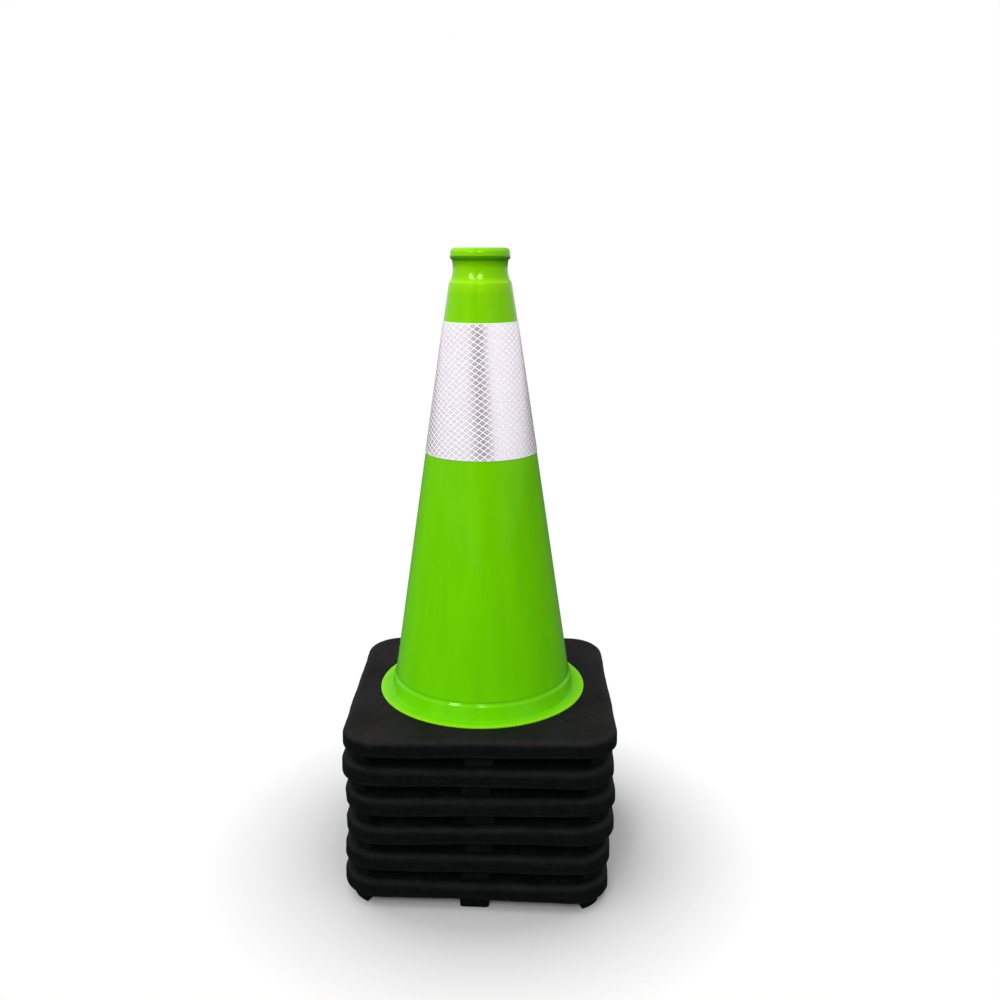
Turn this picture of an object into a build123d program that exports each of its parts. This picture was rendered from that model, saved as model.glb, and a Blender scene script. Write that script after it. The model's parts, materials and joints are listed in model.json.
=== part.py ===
from build123d import *

import os
from math import cos, radians, sin

# A stack of six nested traffic cones, 18 in (457 mm) tall each.
#
# Each cone is three pieces: a glossy PVC shell, a square rubber base that the shell's spigot snaps into,
# and a retroreflective collar glued round the shell. Every cone stands with its feet on the base of the
# cone below, and its neck pocket passes freely over that cone's lip.
#
# Frame: millimetres, +Z up, the floor under the lowest feet is Z = 0 and the common axis is X = Y = 0.
# The front of the stack looks along -Y.

# ---- the stack ----
# how each cone sits turned about the axis, in degrees, from the lowest cone to the top one
TWISTS = (-2.0, -1.3, 0.5, 0.8, -0.9, 0.5)
NEST_CLEARANCE = 0.4        # between a cone's lip and the pocket of the cone above it
CEILING_GAP = 1.5           # between a cone's lip and the ceiling of that pocket

# ---- one cone ----
CONE_HEIGHT = 457.0         # floor to lip
BODY_FOOT_R = 90.3          # outside of the straight taper at the top of the base
NECK_FOOT_R = 28.6          # outside of the straight taper at the foot of the neck
SHELL_WALL = 2.5

# ---- base ----
BASE_WIDTH = 259.0
BASE_CORNER_R = 38.5
SLAB_THICKNESS = 17.5
SLAB_TOP_EDGE_R = 7.0
SLAB_BOTTOM_EDGE_R = 1.5
FOOT_HEIGHT = 12.7
FOOT_WIDTH = 12.0           # across each foot, towards the base's edge
FOOT_INSET = 8.0            # from the base's edge to the feet
MIDDLE_FOOT_LENGTH = 28.0   # along the side
CORNER_FOOT_SPAN = 40.0     # degrees of the corner's arc
FOOT_CORNER_R = 2.0

# ---- mould marks, shallow grooves in the top of the base ----
MARK_DEPTH = 0.8
MARK_WIDTH = 1.6
# the lines they follow, as shares of half the base's width
CHEVRON = ((0.57, -0.70), (0.79, -0.50), (0.86, -0.59))
RIGHT_NOTCH = ((0.885, -0.20), (0.93, -0.37))
LEFT_NOTCH = ((-0.93, -0.49), (-0.87, -0.49))

# ---- flange, skirt and spigot of the shell ----
FLANGE_WIDTH = 10.0         # flat ring outside the skirt, lying on the base
FLANGE_THICKNESS = 1.6
FLANGE_EDGE_R = 0.8
SKIRT_HEIGHT = 16.5         # the proud band from the flange up to the crease
SKIRT_SHOULDER = 3.5        # height of the band's rounded shoulder
SKIRT_TOP_PROUD = 1.6       # how far the band stands out of the taper at its shoulder
SKIRT_FOOT_PROUD = 3.2      # and at the flange
SKIRT_FOOT_R = 1.0          # rounding where the band meets the flange
SKIRT_SHOULDER_R = 2.5
CREASE_R = 3.0
SPIGOT_WALL = 2.5
SPIGOT_JOG = 6.0            # height over which the inside steps out from the wall to the spigot
SPIGOT_SETBACK = 9.4        # how far the flange overhangs the spigot, resting on the base
SPIGOT_FIT = 0.15           # radial clearance of the spigot in the base
LUG_COUNT = 8
LUG_HEIGHT = 2.5
LUG_REACH = 3.5             # how far each lug hooks under the base
LUG_SPAN = 16.0             # degrees

# ---- neck ----
LIP_SETBACK = 1.1           # the lip is this much smaller than the neck's foot, so that it nests
LIP_HEIGHT = 11.0
LIP_DRAFT = 0.5             # the lip's outside leans in this much towards its top
LIP_BEVEL = 1.2             # the slanted lower edge of the lip
LIP_BEVEL_R = 1.0
LIP_EDGE_R = 3.5
GROOVE_DEPTH = 2.4          # below the lip's outside
SHOULDER_HEIGHT = 2.5
SHOULDER_STEP = 1.7         # from the neck's foot in to the groove's lower end
NECK_EDGE_R = 1.0
BORE_R = 21.0
BORE_EDGE_R = 1.5
POCKET_CORNER_R = 4.5
POCKET_EDGE_R = 1.0
POCKET_FOOT_R = 3.0
JOG_R = 2.0                 # both bends of the jog out to the spigot

# ---- collar ----
COLLAR_DROP = 64.2          # from the lip down to the collar's top edge
COLLAR_HEIGHT = 120.8
COLLAR_THICKNESS = 0.5
COLLAR_OVERLAP = 14.0       # degrees of the seam at the back, where the sheet lies on itself

# ---- worked out ----
slab_top = FOOT_HEIGHT + SLAB_THICKNESS
stack_pitch = slab_top      # each cone stands on the base below
neck_foot = CONE_HEIGHT - stack_pitch
taper = (BODY_FOOT_R - NECK_FOOT_R) / (neck_foot - slab_top)
wall_foot_r = BODY_FOOT_R - SHELL_WALL


def body_radius(height):
    """Outside radius of the straight taper at a height above the cone's own floor."""
    return BODY_FOOT_R - taper * (height - slab_top)


def inner_height(radius):
    """Height at which the inside of the straight wall has the given radius."""
    return slab_top + (wall_foot_r - radius) / taper


flange_top = slab_top + FLANGE_THICKNESS
skirt_foot_r = body_radius(flange_top) + SKIRT_FOOT_PROUD
flange_r = skirt_foot_r + FLANGE_WIDTH
crease = flange_top + SKIRT_HEIGHT
skirt_shoulder = crease - SKIRT_SHOULDER
spigot_r = flange_r - SPIGOT_SETBACK
spigot_bottom = FOOT_HEIGHT - LUG_HEIGHT
spigot_inner_r = spigot_r - SPIGOT_WALL
hole_r = spigot_r + SPIGOT_FIT

lip_r = NECK_FOOT_R - LIP_SETBACK
lip_bottom = CONE_HEIGHT - LIP_HEIGHT
groove_r = lip_r - GROOVE_DEPTH
shoulder = neck_foot + SHOULDER_HEIGHT
shoulder_r = NECK_FOOT_R - SHOULDER_STEP
groove_middle = (shoulder + lip_bottom) / 2
pocket_r = lip_r + NEST_CLEARANCE
pocket_ceiling = CONE_HEIGHT - stack_pitch + CEILING_GAP

collar_top = CONE_HEIGHT - COLLAR_DROP
collar_bottom = collar_top - COLLAR_HEIGHT

base_half = BASE_WIDTH / 2
corner_centre = base_half - BASE_CORNER_R
corner_foot_r = BASE_CORNER_R - FOOT_INSET - FOOT_WIDTH / 2
middle_foot = base_half - FOOT_INSET - FOOT_WIDTH / 2


# ---- shell: one revolved wall, from the spigot up over the lip and down the inside ----
with BuildPart() as shell:
    with BuildSketch(Plane.XZ):
        with BuildLine():
            Polyline((spigot_r, spigot_bottom), (spigot_r, slab_top), (flange_r, slab_top))
            FilletPolyline(
                (flange_r, slab_top),
                (flange_r, flange_top),
                (skirt_foot_r, flange_top),
                (body_radius(skirt_shoulder) + SKIRT_TOP_PROUD, skirt_shoulder),
                (body_radius(crease), crease),
                (NECK_FOOT_R, neck_foot),
                (shoulder_r, shoulder),
                radius=(FLANGE_EDGE_R, SKIRT_FOOT_R, SKIRT_SHOULDER_R, CREASE_R, NECK_EDGE_R),
            )
            ThreePointArc(
                (shoulder_r, shoulder), (groove_r, groove_middle), (lip_r - LIP_BEVEL, lip_bottom)
            )
            FilletPolyline(
                (lip_r - LIP_BEVEL, lip_bottom),
                (lip_r, lip_bottom + LIP_BEVEL),
                (lip_r - LIP_DRAFT, CONE_HEIGHT),
                (BORE_R, CONE_HEIGHT),
                (BORE_R, pocket_ceiling),
                (pocket_r, pocket_ceiling),
                (pocket_r, inner_height(pocket_r)),
                (wall_foot_r, slab_top),
                (spigot_inner_r, slab_top - SPIGOT_JOG),
                (spigot_inner_r, spigot_bottom),
                radius=(
                    LIP_BEVEL_R, LIP_EDGE_R, BORE_EDGE_R, POCKET_EDGE_R, POCKET_CORNER_R, POCKET_FOOT_R,
                    JOG_R, JOG_R,
                ),
            )
            Line((spigot_inner_r, spigot_bottom), (spigot_r, spigot_bottom))
        make_face()
    revolve(axis=Axis.Z)
    # snap lugs round the spigot's foot, hooked under the base
    for number in range(LUG_COUNT):
        turned = Plane.XZ.rotated((0, 0, number * 360 / LUG_COUNT - LUG_SPAN / 2))
        with BuildSketch(turned):
            with BuildLine():
                Polyline(
                    (spigot_inner_r + SPIGOT_WALL / 2, spigot_bottom),
                    (spigot_r + LUG_REACH / 2, spigot_bottom),
                    (spigot_r + LUG_REACH, spigot_bottom + LUG_HEIGHT / 2),
                    (spigot_r + LUG_REACH, FOOT_HEIGHT),
                    (spigot_inner_r + SPIGOT_WALL / 2, FOOT_HEIGHT),
                    close=True,
                )
            make_face()
        revolve(axis=Axis.Z, revolution_arc=LUG_SPAN)

# ---- base: a rounded square slab on eight feet ----
with BuildPart() as base:
    with BuildSketch(Plane.XY.offset(FOOT_HEIGHT)):
        RectangleRounded(BASE_WIDTH, BASE_WIDTH, BASE_CORNER_R)
    extrude(amount=SLAB_THICKNESS)
    fillet(base.faces().sort_by(Axis.Z)[-1].edges(), radius=SLAB_TOP_EDGE_R)
    fillet(base.faces().sort_by(Axis.Z)[0].edges(), radius=SLAB_BOTTOM_EDGE_R)
    with BuildSketch(Plane.XY.offset(FOOT_HEIGHT)):
        Circle(hole_r)
    extrude(amount=SLAB_THICKNESS, mode=Mode.SUBTRACT)
    # a straight foot in the middle of each side
    with BuildSketch(Plane.XY):
        with PolarLocations(middle_foot, 4):
            RectangleRounded(FOOT_WIDTH, MIDDLE_FOOT_LENGTH, FOOT_CORNER_R)
    extrude(amount=FOOT_HEIGHT)
    # a curved foot following each corner
    with BuildSketch(Plane.XY):
        for outward in (45, 135, 225, 315):
            across = corner_centre * (1 if cos(radians(outward)) > 0 else -1)
            along = corner_centre * (1 if sin(radians(outward)) > 0 else -1)
            with BuildLine():
                middle_line = CenterArc(
                    (across, along), corner_foot_r, outward - CORNER_FOOT_SPAN / 2, CORNER_FOOT_SPAN
                )
            trace(middle_line, line_width=FOOT_WIDTH)
    extrude(amount=FOOT_HEIGHT)
    # mould marks: a chevron by the front right corner and a short notch by each side edge
    with BuildSketch(Plane.XY.offset(slab_top)):
        for points in (CHEVRON, RIGHT_NOTCH, LEFT_NOTCH):
            with BuildLine():
                mark = Polyline(*((base_half * x, base_half * y) for x, y in points))
            trace(mark, line_width=MARK_WIDTH)
    extrude(amount=-MARK_DEPTH, mode=Mode.SUBTRACT)

# ---- collar: a thin sleeve on the taper, doubled where the sheet overlaps itself at the back ----
with BuildPart() as collar:
    with BuildSketch(Plane.XZ):
        with BuildLine():
            Polyline(
                (body_radius(collar_bottom), collar_bottom),
                (body_radius(collar_top), collar_top),
                (body_radius(collar_top) + COLLAR_THICKNESS, collar_top),
                (body_radius(collar_bottom) + COLLAR_THICKNESS, collar_bottom),
                close=True,
            )
        make_face()
    revolve(axis=Axis.Z)
    with BuildSketch(Plane.XZ.rotated((0, 0, 90 - COLLAR_OVERLAP / 2))):
        with BuildLine():
            Polyline(
                (body_radius(collar_bottom) + COLLAR_THICKNESS / 2, collar_bottom),
                (body_radius(collar_top) + COLLAR_THICKNESS / 2, collar_top),
                (body_radius(collar_top) + 2 * COLLAR_THICKNESS, collar_top),
                (body_radius(collar_bottom) + 2 * COLLAR_THICKNESS, collar_bottom),
                close=True,
            )
        make_face()
    revolve(axis=Axis.Z, revolution_arc=COLLAR_OVERLAP)

# ---- the stack: six copies of the three pieces, each cone one pitch above the last ----
os.makedirs("parts", exist_ok=True)
for number, twist in enumerate(TWISTS, start=1):
    place = Location((0, 0, (number - 1) * stack_pitch), (0, 0, twist))
    for piece, name in ((shell, "shell"), (base, "base"), (collar, "collar")):
        copy = piece.part.moved(place)
        copy.label = f"cone_{number}_{name}"
        export_step(copy, f"parts/{copy.label}.step")
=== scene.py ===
# %% [markdown]
# # A stack of traffic cones
# Six road cones stand nested in a stack. Each one is three pieces: a glossy lime PVC shell, a square
# black rubber base and a reflective collar glued round the shell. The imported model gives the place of
# every piece, so this script builds finished surfaces round it and never moves a part of it.

# %% Load the frame
import json
import math

import bpy
import numpy as np
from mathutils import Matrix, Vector

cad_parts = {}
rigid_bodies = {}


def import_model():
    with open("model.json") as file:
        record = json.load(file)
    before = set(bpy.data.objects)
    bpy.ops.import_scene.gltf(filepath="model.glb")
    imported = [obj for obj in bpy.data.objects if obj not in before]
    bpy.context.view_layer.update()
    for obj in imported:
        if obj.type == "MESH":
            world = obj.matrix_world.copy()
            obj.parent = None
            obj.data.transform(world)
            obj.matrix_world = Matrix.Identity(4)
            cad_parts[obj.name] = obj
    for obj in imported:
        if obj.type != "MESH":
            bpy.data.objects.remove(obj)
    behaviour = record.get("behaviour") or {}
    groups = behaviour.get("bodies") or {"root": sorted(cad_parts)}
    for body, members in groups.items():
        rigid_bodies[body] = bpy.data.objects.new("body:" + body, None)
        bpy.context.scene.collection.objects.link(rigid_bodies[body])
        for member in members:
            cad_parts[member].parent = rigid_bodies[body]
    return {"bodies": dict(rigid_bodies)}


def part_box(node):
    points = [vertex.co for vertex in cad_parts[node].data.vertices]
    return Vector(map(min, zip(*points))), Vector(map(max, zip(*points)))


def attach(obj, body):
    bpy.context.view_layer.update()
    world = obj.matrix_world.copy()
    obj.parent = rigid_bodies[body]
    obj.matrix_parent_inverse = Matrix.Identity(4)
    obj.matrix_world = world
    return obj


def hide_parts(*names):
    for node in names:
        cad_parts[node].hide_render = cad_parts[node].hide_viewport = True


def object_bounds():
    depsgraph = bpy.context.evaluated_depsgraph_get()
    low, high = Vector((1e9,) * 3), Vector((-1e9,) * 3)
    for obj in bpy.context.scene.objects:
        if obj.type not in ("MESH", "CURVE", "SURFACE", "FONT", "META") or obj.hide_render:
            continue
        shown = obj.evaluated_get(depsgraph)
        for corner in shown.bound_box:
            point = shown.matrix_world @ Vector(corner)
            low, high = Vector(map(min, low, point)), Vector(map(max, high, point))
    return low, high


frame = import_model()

cad_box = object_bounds()
cones = sorted(frame["bodies"])
print("cones in the stack:", cones)

# %% [markdown]
# ## Sizes
# The heights and the flange's radius are read from the lowest cone of the frame, because its floor is
# at zero. What a box can't tell, such as a rounding, a wall or the width of a base that sits turned, is
# written here in millimetres, as a drawing would give it.

# %% Sizes read from the frame
MM = 0.001
shell_low, shell_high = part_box(f"{cones[0]}_shell")
base_low, base_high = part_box(f"{cones[0]}_base")
collar_low, collar_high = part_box(f"{cones[0]}_collar")
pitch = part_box(f"{cones[1]}_base")[0].z - base_low.z
slab_top = base_high.z
cone_height = shell_high.z
flange_r = shell_high.x
spigot_bottom = shell_low.z
collar_bottom, collar_top = collar_low.z, collar_high.z
print(f"one cone is {cone_height / MM:.0f} mm tall and the stack rises {pitch / MM:.1f} mm a cone")

# %% Sizes of the shell
BODY_FOOT_R = 90.3 * MM         # the straight taper, at the top of the base
NECK_FOOT_R = 28.6 * MM         # and at the foot of the neck
SHELL_WALL = 2.5 * MM
FLANGE_WIDTH = 10.0 * MM
FLANGE_THICKNESS = 1.6 * MM
SKIRT_HEIGHT = 16.5 * MM
SKIRT_SHOULDER = 3.5 * MM
SKIRT_TOP_PROUD = 1.6 * MM
SPIGOT_WALL = 2.5 * MM
SPIGOT_SETBACK = 9.4 * MM
SPIGOT_JOG = 6.0 * MM
LUG_COUNT = 8
LUG_HEIGHT = 2.5 * MM
LUG_REACH = 3.5 * MM
LUG_SPAN = math.radians(16)
LIP_R = 27.5 * MM
LIP_HEIGHT = 11.0 * MM
LIP_DRAFT = 0.5 * MM
LIP_BEVEL = 2.0 * MM
GROOVE_DEPTH = 2.4 * MM
SHOULDER_HEIGHT = 2.5 * MM
SHOULDER_STEP = 1.7 * MM
BORE_R = 21.0 * MM
NEST_CLEARANCE = 0.4 * MM
CEILING_GAP = 1.5 * MM
# roundings in the order of the corners, up the outside and then over the lip and down the inside
OUTSIDE_ROUNDINGS = np.array([0.2, 0.79, 1.0, 2.5, 3.0, 1.0]) * MM
INSIDE_ROUNDINGS = np.array([2.4, 4.3, 1.5, 1.0, 4.5, 3.0, 2.0, 2.0]) * MM
OUTSIDE_SPACING = 9 * MM        # at most this far between points of a straight run
INSIDE_SPACING = 14 * MM

# %% Sizes of the base and the collar
BASE_WIDTH = 259.0 * MM
BASE_CORNER_R = 38.5 * MM
FOOT_HEIGHT = 12.7 * MM
SLAB_TOP_EDGE_R = 7.0 * MM
SLAB_BOTTOM_EDGE_R = 1.5 * MM
FOOT_WIDTH = 12.0 * MM
FOOT_INSET = 8.0 * MM
MIDDLE_FOOT_LENGTH = 28.0 * MM
CORNER_FOOT_SPAN = math.radians(40)
HOLE_FIT = 0.15 * MM
COLLAR_THICKNESS = 0.5 * MM
COLLAR_OVERLAP = math.radians(14)
SHEET_LEAN = math.radians(3.3)  # the pattern was printed a little askew to the strip
TWISTS = np.radians([-2.0, -1.3, 0.5, 0.8, -0.9, 0.5])   # how each cone sits turned in the stack

neck_foot = cone_height - pitch
taper = (BODY_FOOT_R - NECK_FOOT_R) / (neck_foot - slab_top)
print(f"the straight wall leans {math.degrees(math.atan(taper)):.1f} degrees")


# %% [markdown]
# ## Surfaces from formulas
# A turned or moulded piece is a profile carried round an axis or along an outline, so its surface is a
# grid of points with two parameters. The grid is worked out as one array and put into the mesh in one
# call. That keeps the roundings exact and the faces in neat rows, which gloss shows more than anything.

# %% From a grid to a mesh
def grid_faces(rows, columns, close_rows, close_columns):
    """Four corner numbers for each cell of a grid, where point (row, column) has number
    row x columns + column. A closed direction joins its last line to its first."""
    row = np.arange(rows if close_rows else rows - 1)[:, None]
    column = np.arange(columns if close_columns else columns - 1)[None, :]
    next_row, next_column = (row + 1) % rows, (column + 1) % columns
    corners = (
        row * columns + column,
        row * columns + next_column,
        next_row * columns + next_column,
        next_row * columns + column,
    )
    return np.stack(corners, axis=-1).reshape(-1, 4)


def make_mesh(name, points, faces):
    """A smooth-shaded mesh object from an array of points and a list of faces."""
    mesh = bpy.data.meshes.new(name)
    mesh.from_pydata(points.reshape(-1, 3), [], faces if isinstance(faces, list) else faces.tolist())
    mesh.shade_smooth()
    mesh.update()
    piece = bpy.data.objects.new(name, mesh)
    bpy.context.scene.collection.objects.link(piece)
    return piece


def point_value(piece, name, values):
    """One number for every point of the mesh, kept under a name that a material can read."""
    kept = piece.data.attributes.new(name, "FLOAT", "POINT")
    kept.data.foreach_set("value", np.ascontiguousarray(values, dtype=np.float32).ravel())


# %% A profile of straight runs and rounded corners
HOLD = 0.25 * MM   # a line of points this far from each arc keeps flats flat under smooth shading


def rounded_profile(corners, radii, spacing):
    """Points along straight runs joined by tangent arcs. An arc of radius r at a corner that turns by
    angle a starts r tan(a / 2) before the corner and ends as far after it; its centre lies on the
    corner's bisector, r / cos(a / 2) away. Straight runs get a point at most every spacing."""
    corners = np.array(corners, float)
    arcs = [corners[:1]]
    for before, corner, after, radius in zip(corners, corners[1:], corners[2:], radii):
        arriving = (corner - before) / np.linalg.norm(corner - before)
        leaving = (after - corner) / np.linalg.norm(after - corner)
        turn = math.acos(np.clip(arriving @ leaving, -1, 1))
        bisector = (leaving - arriving) / np.linalg.norm(leaving - arriving)
        centre = corner + bisector * radius / math.cos(turn / 2)
        steps = max(3, math.ceil(turn / math.radians(9)))
        share = np.linspace(-turn / 2, turn / 2, steps + 1)[:, None]
        along = (arriving + leaving) / np.linalg.norm(arriving + leaving)
        arc = centre - bisector * radius * np.cos(share) + along * radius * np.sin(share)
        arcs.append(np.vstack([arc[0] - arriving * HOLD, arc, arc[-1] + leaving * HOLD]))
    arcs.append(corners[-1:])
    runs = [arcs[0]]
    for last, arc in zip(arcs, arcs[1:]):
        start, end = last[-1], arc[0]
        pieces = max(1, math.ceil(np.linalg.norm(end - start) / spacing))
        share = np.linspace(0, 1, pieces + 1)[1:-1, None]
        runs += [start + (end - start) * share, arc]
    return np.vstack(runs)


def arc_through(start, middle, end, count):
    """Points on the circle through three points, from the first to the last, both left out."""
    a, b, c = (complex(*point) for point in (start, middle, end))
    w = (c - a) / (b - a)
    centre = (b - a) * (w - abs(w) ** 2) / (2j * w.imag) + a
    first, last = np.angle(a - centre), np.angle(c - centre)
    sweep = (last - first + math.pi) % (2 * math.pi) - math.pi
    turned = centre + (a - centre) * np.exp(1j * sweep * np.linspace(0, 1, count + 2)[1:-1])
    return np.column_stack([turned.real, turned.imag])


# %% Slow ripples that no two cones share
def ripples(points, wavelength, seed, waves=7):
    """A smooth uneven field between about -1 and 1: a sum of plane waves of nearly one wavelength, with
    directions and phases drawn from a seeded generator, divided by the square root of their number."""
    chance = np.random.default_rng(seed)
    directions = chance.normal(size=(waves, 3))
    directions /= np.linalg.norm(directions, axis=1, keepdims=True)
    lengths = wavelength * chance.uniform(0.7, 1.5, waves)
    phases = chance.uniform(0, 2 * math.pi, waves)
    angles = points.reshape(-1, 3) @ (2 * math.pi * directions / lengths[:, None]).T + phases
    return np.sin(angles).sum(axis=1).reshape(points.shape[:-1]) / math.sqrt(waves)


def ease(value, low, high):
    """0 below low, 1 above high and an even, smooth climb between them."""
    share = np.clip((value - low) / (high - low), 0, 1)
    return share * share * (3 - 2 * share)


# %% [markdown]
# ## The shell
# The shell of a road cone is one moulding of soft PVC: a spigot that snaps into the base, a flat flange,
# a proud skirt band, a long straight taper, a grooved neck and a lip. It is a turned shape, so one
# closed profile, up the outside and down the inside, is carried round the axis. Thin PVC never stays
# quite round, and a fault of a few tenths of a millimetre is what makes its reflections look real.

# %% How far the soft wall strays from round
WALL_WANDER = 0.22 * MM
STIFF_END = 60 * MM     # the wander fades out over this height at the flange and at the neck


def wall_wander(angle, height, seed):
    """How far the wall stands out of round: long ripples along the height, three or so round the
    cone, that fade out at the flange and at the neck, where the moulding is stiff."""
    angle, height = np.broadcast_arrays(angle, height)
    on_drum = np.stack([np.cos(angle) * 0.9, np.sin(angle) * 0.9, height * 4.0], axis=-1)
    free = ease(height, slab_top, slab_top + STIFF_END) * ease(neck_foot - height, 0, STIFF_END)
    return WALL_WANDER * ripples(on_drum, 1.6, seed) * free


# %% The profile of the shell
LEDGE_STEP = 0.02 * MM      # the lug's flat top is this steep a step
FLANGE_STEP = 0.05 * MM     # the last row of the spigot, just under the flange


def body_radius(height):
    """Outside radius of the straight taper at a height above the cone's own floor."""
    return BODY_FOOT_R - taper * (height - slab_top)


def shell_profile():
    """Radius and height round the whole section, from the spigot's foot up the outside, over the lip
    and down the inside, and how strongly each point is drawn out where there is a lug."""
    flange_top = slab_top + FLANGE_THICKNESS
    spigot_r = flange_r - SPIGOT_SETBACK
    spigot_inner_r = spigot_r - SPIGOT_WALL
    crease = flange_top + SKIRT_HEIGHT
    shoulder = crease - SKIRT_SHOULDER
    wall_foot_r = BODY_FOOT_R - SHELL_WALL
    pocket_r = LIP_R + NEST_CLEARANCE
    pocket_foot = slab_top + (wall_foot_r - pocket_r) / taper
    pocket_ceiling = cone_height - pitch + CEILING_GAP
    lip_foot = cone_height - LIP_HEIGHT
    neck_shoulder = neck_foot + SHOULDER_HEIGHT
    groove_middle = (LIP_R - GROOVE_DEPTH, (neck_shoulder + lip_foot) / 2)
    groove_foot = (NECK_FOOT_R - SHOULDER_STEP, neck_shoulder)
    groove_top = (LIP_R - LIP_BEVEL, lip_foot)
    lug_heights = [spigot_bottom, spigot_bottom + LUG_HEIGHT / 2, FOOT_HEIGHT - LEDGE_STEP, FOOT_HEIGHT,
                   slab_top - FLANGE_STEP]
    lug_rows = [(spigot_r, height) for height in lug_heights]
    outside = rounded_profile(
        [(spigot_r, slab_top), (flange_r, slab_top), (flange_r, flange_top),
         (flange_r - FLANGE_WIDTH, flange_top), (body_radius(shoulder) + SKIRT_TOP_PROUD, shoulder),
         (body_radius(crease), crease), (NECK_FOOT_R, neck_foot), groove_foot],
        OUTSIDE_ROUNDINGS, OUTSIDE_SPACING,
    )
    groove = arc_through(groove_foot, groove_middle, groove_top, 14)
    inside = rounded_profile(
        [groove_top, (LIP_R, lip_foot + LIP_BEVEL), (LIP_R - LIP_DRAFT, cone_height),
         (BORE_R, cone_height), (BORE_R, pocket_ceiling), (pocket_r, pocket_ceiling),
         (pocket_r, pocket_foot), (wall_foot_r, slab_top), (spigot_inner_r, slab_top - SPIGOT_JOG),
         (spigot_inner_r, spigot_bottom)],
        INSIDE_ROUNDINGS, INSIDE_SPACING,
    )
    profile = np.vstack([lug_rows, outside, groove, inside])
    drawn_out = np.zeros(len(profile))
    drawn_out[:3] = 0.5, 1.0, 1.0
    return profile, drawn_out


section, drawn_out = shell_profile()
print("points round the shell's section:", len(section))

# %% Columns round the shell, with a pair of lines at each side of every lug
COLUMNS = 176
lug_sides = np.arange(LUG_COUNT)[:, None] * 2 * math.pi / LUG_COUNT + np.array([[-0.5, 0.5]]) * LUG_SPAN
lug_edge = 0.004   # a steep side, in radians
even = np.linspace(0, 2 * math.pi, COLUMNS, endpoint=False)
angles = np.unique(np.concatenate([even, (lug_sides % (2 * math.pi)).ravel(),
                                   ((lug_sides + [[-lug_edge, lug_edge]]) % (2 * math.pi)).ravel()]))
angles = angles[np.append(True, np.diff(angles) > lug_edge / 4)]
from_lug = np.abs((angles * LUG_COUNT / 2 + math.pi / 2) % math.pi - math.pi / 2) * 2 / LUG_COUNT
in_lug = 1 - np.clip((from_lug - LUG_SPAN / 2) / lug_edge, 0, 1)
print("columns round the shell:", len(angles))


# %% Carry the profile round the axis
def turn_shell(seed, twist):
    """Point (i, j) of a shell: profile point i, drawn out by the lug of column j and by the wall's
    wander, at the radius r and angle a, so x = r cos a and y = r sin a."""
    height = np.broadcast_to(section[:, 1:2], (len(section), len(angles)))
    radius = section[:, :1] + LUG_REACH * drawn_out[:, None] * in_lug[None, :]
    radius = radius + wall_wander(angles[None, :], height, seed)
    return np.stack(
        [radius * np.cos(angles + twist), radius * np.sin(angles + twist), height], axis=-1
    )


# %% [markdown]
# ## The base
# The base is recycled rubber, pressed in a mould: a rounded square slab on eight feet, with a round hole
# for the spigot. The slab is one closed ring-shaped surface. One parameter runs along the square outline
# and the other goes round the section: up the hole, out along the top, over the rounded edge, down the
# side and back underneath.

# %% The outline of a rounded square
half = BASE_WIDTH / 2
corner_centre = half - BASE_CORNER_R
side = 2 * corner_centre
corner = BASE_CORNER_R * math.pi / 2


def outline(travel, inset):
    """Point at a distance travelled along the outline, counted from the middle of the right side, and
    moved in by inset: the straight sides shift inwards and the corner arcs shrink by it."""
    quarter = np.floor(travel / (side + corner) + 0.5 * side / (side + corner))
    along = travel + side / 2 - quarter * (side + corner)
    bend = np.clip(along - side, 0, corner) / BASE_CORNER_R
    straight = np.minimum(along, side) - side / 2
    radius = BASE_CORNER_R - inset
    x = corner_centre + radius * np.cos(bend)
    y = straight + radius * np.sin(bend)
    turn = quarter * math.pi / 2
    return np.stack([x * np.cos(turn) - y * np.sin(turn), x * np.sin(turn) + y * np.cos(turn)], axis=-1)


perimeter = 4 * (side + corner)
print(f"the base is {perimeter / MM:.0f} mm round its edge")

# %% Mould marks: shallow grooves that stay in the top from the mould
MARK_DEPTH = 0.8 * MM
MARK_WIDTH = 2.0 * MM
marks = [np.array(line) * half for line in (
    ((0.57, -0.70), (0.79, -0.50), (0.86, -0.59)),
    ((0.885, -0.20), (0.93, -0.37)),
    ((-0.93, -0.49), (-0.87, -0.49)),
)]


def distance_to_line(points, line):
    """Shortest distance from each point to a line of straight pieces, each piece taken as its start
    plus a share between 0 and 1 of the way to its end."""
    nearest = np.full(points.shape[:-1], np.inf)
    for start, end in zip(line, line[1:]):
        way = end - start
        share = np.clip(((points - start) @ way) / (way @ way), 0, 1)
        nearest = np.minimum(nearest, np.linalg.norm(points - start - share[..., None] * way, axis=-1))
    return nearest


# %% Lines of the base's grid, closer together where the marks are
FINE = 0.75 * MM
TOP_WIDTH = 48 * MM         # about how wide the top is, from the hole to the edge
MARK_MARGIN = 2.5 * MM
hole_r = flange_r - SPIGOT_SETBACK + HOLE_FIT
tries = np.linspace(0, perimeter, 8000, endpoint=False)
direction = np.unwrap(np.arctan2(*np.moveaxis(outline(tries, 0), -1, 0)[::-1]))
reach = np.linalg.norm(outline(tries, SLAB_TOP_EDGE_R), axis=-1)
travel = [np.linspace(0, perimeter, 264, endpoint=False)]
out = [np.linspace(0, 1, 15)]
for line in marks:
    heading = np.arctan2(line[:, 1], line[:, 0]) % (2 * math.pi)
    at = np.interp(heading, direction, tries)
    share = (np.linalg.norm(line, axis=1) - hole_r) / (np.interp(at, tries, reach) - hole_r)
    travel.append(np.arange(at.min() - MARK_MARGIN, at.max() + MARK_MARGIN, FINE * 1.15))
    out.append(np.arange(share.min() - 0.04, min(share.max() + 0.04, 0.98), FINE / TOP_WIDTH))
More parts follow.
